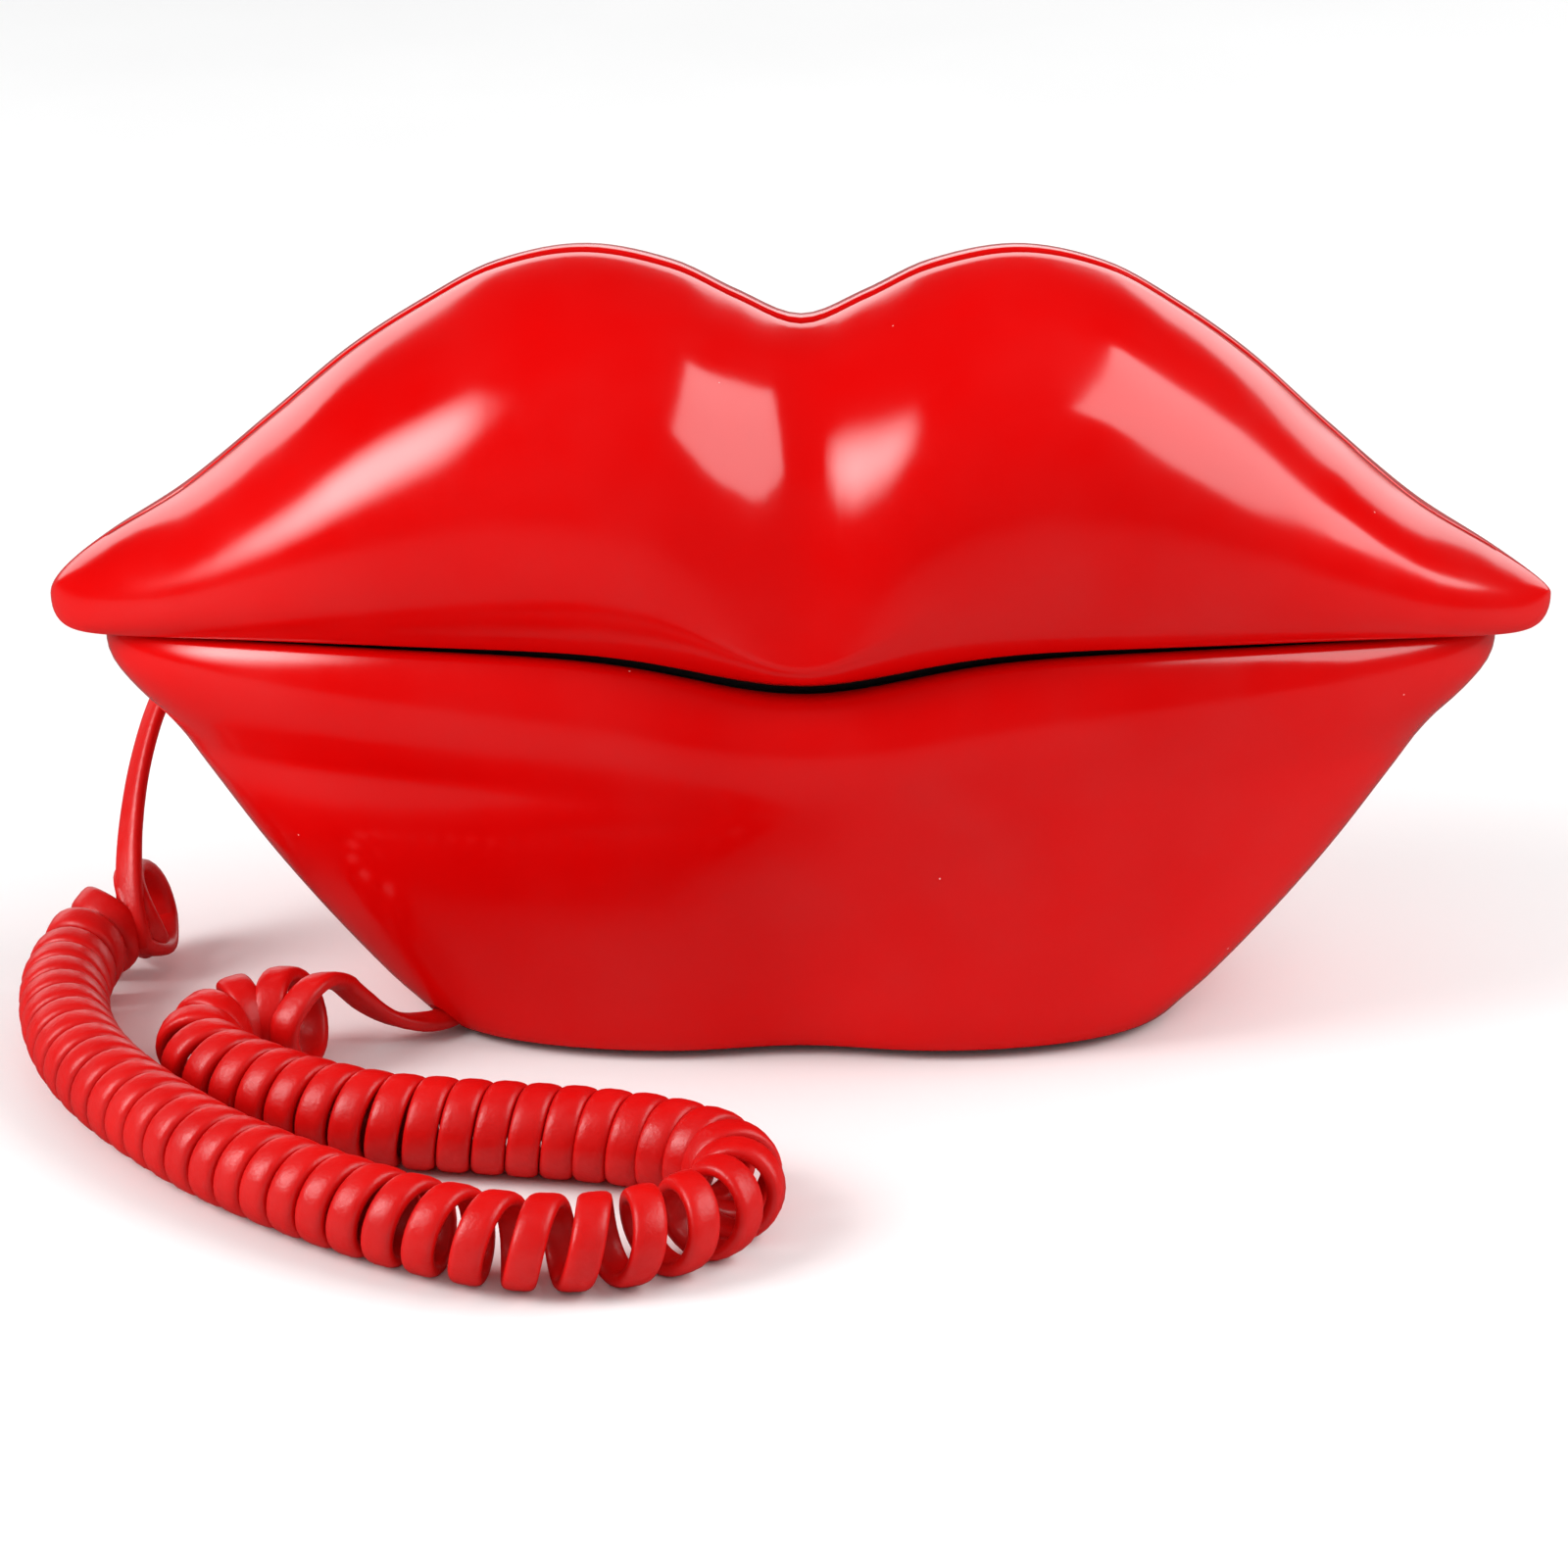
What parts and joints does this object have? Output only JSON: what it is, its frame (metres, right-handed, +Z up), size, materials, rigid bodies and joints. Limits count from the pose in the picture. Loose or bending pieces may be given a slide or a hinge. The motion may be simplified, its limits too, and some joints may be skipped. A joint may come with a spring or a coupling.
{
  "type": "novelty shaped telephone",
  "caption": "Corded lips-shaped telephone: the upper lip lifts off as the handset with its keypad underneath, the lower lip is the base.",
  "frame": {"origin": "centre of the object's footprint box on the standing surface, cord left out", "axes": "+X from the left corner of the mouth to the right one, -Y out of the front of the lips, +Z up"},
  "size_m": [0.2195, 0.1423, 0.1107],
  "materials": {
    "lip_red": "high gloss moulded shell",
    "black_plastic": "fine satin",
    "cord_red": "satin flexible sheath",
    "key_white": "semi gloss",
    "key_red": "semi gloss",
    "clear_plastic": "clear",
    "steel": "plated",
    "rubber_black": "matte",
    "rubber_grey": "matte",
    "board_green": "solder mask"
  },
  "bodies": {
    "base": {"base_front_shell": "lip_red", "base_rear_shell": "lip_red", "cradle_cover": "black_plastic", "bottom_plate": "black_plastic", "base_screws": "steel", "rubber_feet": "rubber_black", "main_board": "board_green", "board_screws": "steel", "base_weight": "steel", "hook_spring": "steel", "plunger_guide": "black_plastic", "hook_switch": "black_plastic", "ringer": "black_plastic", "base_cord_jack": "black_plastic", "line_jack": "black_plastic", "ringer_switch": "steel", "dial_mode_switch": "steel", "handset_lead": "cord_red", "curly_cord": "cord_red", "base_lead": "cord_red", "base_plug": "clear_plastic"},
    "handset": {"handset_front_shell": "lip_red", "handset_rear_shell": "lip_red", "underside_cover": "black_plastic", "handset_screws": "steel", "keypad_membrane": "rubber_grey", "keypad_board": "board_green", "earpiece_receiver": "steel", "receiver_seal": "rubber_black", "microphone": "steel", "microphone_boot": "rubber_black", "handset_jack": "black_plastic", "handset_weight": "steel", "handset_plug": "clear_plastic"},
    "hook_plunger": {"hook_plunger": "key_white"},
    "ringer_slider": {"ringer_slider": "key_white"},
    "dial_mode_slider": {"dial_mode_slider": "key_white"},
    "key_1_body": {"key_1": "key_white"},
    "key_2_body": {"key_2": "key_white"},
    "key_3_body": {"key_3": "key_white"},
    "key_4_body": {"key_4": "key_white"},
    "key_5_body": {"key_5": "key_white"},
    "key_6_body": {"key_6": "key_white"},
    "key_7_body": {"key_7": "key_white"},
    "key_8_body": {"key_8": "key_white"},
    "key_9_body": {"key_9": "key_white"},
    "key_star_body": {"key_star": "key_white"},
    "key_0_body": {"key_0": "key_white"},
    "key_hash_body": {"key_hash": "key_white"},
    "key_mute_body": {"key_mute": "key_red"},
    "key_redial_body": {"key_redial": "key_red"}
  },
  "joints": [
    {"name": "handset_lift", "type": "slide", "parent": "base", "child": "handset", "axis": [0, 0, 1], "range_m": [0, 0.04]},
    {"name": "hook_plunger_rise", "type": "slide", "parent": "base", "child": "hook_plunger", "axis": [0, 0, 1], "range_m": [0, 0.004], "deforming": ["hook_spring"]},
    {"name": "ringer_slide", "type": "slide", "parent": "base", "child": "ringer_slider", "axis": [1, 0, 0], "range_m": [0, 0.004]},
    {"name": "dial_mode_slide", "type": "slide", "parent": "base", "child": "dial_mode_slider", "axis": [1, 0, 0], "range_m": [0, 0.004]},
    {"name": "key_1_press", "type": "slide", "parent": "handset", "child": "key_1_body", "axis": [0, 0, 1], "range_m": [0, 0.0012], "stiffness_N_per_m": 600, "springref_m": -0.0005},
    {"name": "key_2_press", "type": "slide", "parent": "handset", "child": "key_2_body", "axis": [0, 0, 1], "range_m": [0, 0.0012], "stiffness_N_per_m": 600, "springref_m": -0.0005},
    {"name": "key_3_press", "type": "slide", "parent": "handset", "child": "key_3_body", "axis": [0, 0, 1], "range_m": [0, 0.0012], "stiffness_N_per_m": 600, "springref_m": -0.0005},
    {"name": "key_4_press", "type": "slide", "parent": "handset", "child": "key_4_body", "axis": [0, 0, 1], "range_m": [0, 0.0012], "stiffness_N_per_m": 600, "springref_m": -0.0005},
    {"name": "key_5_press", "type": "slide", "parent": "handset", "child": "key_5_body", "axis": [0, 0, 1], "range_m": [0, 0.0012], "stiffness_N_per_m": 600, "springref_m": -0.0005},
    {"name": "key_6_press", "type": "slide", "parent": "handset", "child": "key_6_body", "axis": [0, 0, 1], "range_m": [0, 0.0012], "stiffness_N_per_m": 600, "springref_m": -0.0005},
    {"name": "key_7_press", "type": "slide", "parent": "handset", "child": "key_7_body", "axis": [0, 0, 1], "range_m": [0, 0.0012], "stiffness_N_per_m": 600, "springref_m": -0.0005},
    {"name": "key_8_press", "type": "slide", "parent": "handset", "child": "key_8_body", "axis": [0, 0, 1], "range_m": [0, 0.0012], "stiffness_N_per_m": 600, "springref_m": -0.0005},
    {"name": "key_9_press", "type": "slide", "parent": "handset", "child": "key_9_body", "axis": [0, 0, 1], "range_m": [0, 0.0012], "stiffness_N_per_m": 600, "springref_m": -0.0005},
    {"name": "key_star_press", "type": "slide", "parent": "handset", "child": "key_star_body", "axis": [0, 0, 1], "range_m": [0, 0.0012], "stiffness_N_per_m": 600, "springref_m": -0.0005},
    {"name": "key_0_press", "type": "slide", "parent": "handset", "child": "key_0_body", "axis": [0, 0, 1], "range_m": [0, 0.0012], "stiffness_N_per_m": 600, "springref_m": -0.0005},
    {"name": "key_hash_press", "type": "slide", "parent": "handset", "child": "key_hash_body", "axis": [0, 0, 1], "range_m": [0, 0.0012], "stiffness_N_per_m": 600, "springref_m": -0.0005},
    {"name": "key_mute_press", "type": "slide", "parent": "handset", "child": "key_mute_body", "axis": [0, 0, 1], "range_m": [0, 0.0012], "stiffness_N_per_m": 600, "springref_m": -0.0005},
    {"name": "key_redial_press", "type": "slide", "parent": "handset", "child": "key_redial_body", "axis": [0, 0, 1], "range_m": [0, 0.0012], "stiffness_N_per_m": 600, "springref_m": -0.0005}
  ],
  "couplings": [
    {"joint": "hook_plunger_rise", "follows": "handset_lift", "ratio": 0.1}
  ]
}
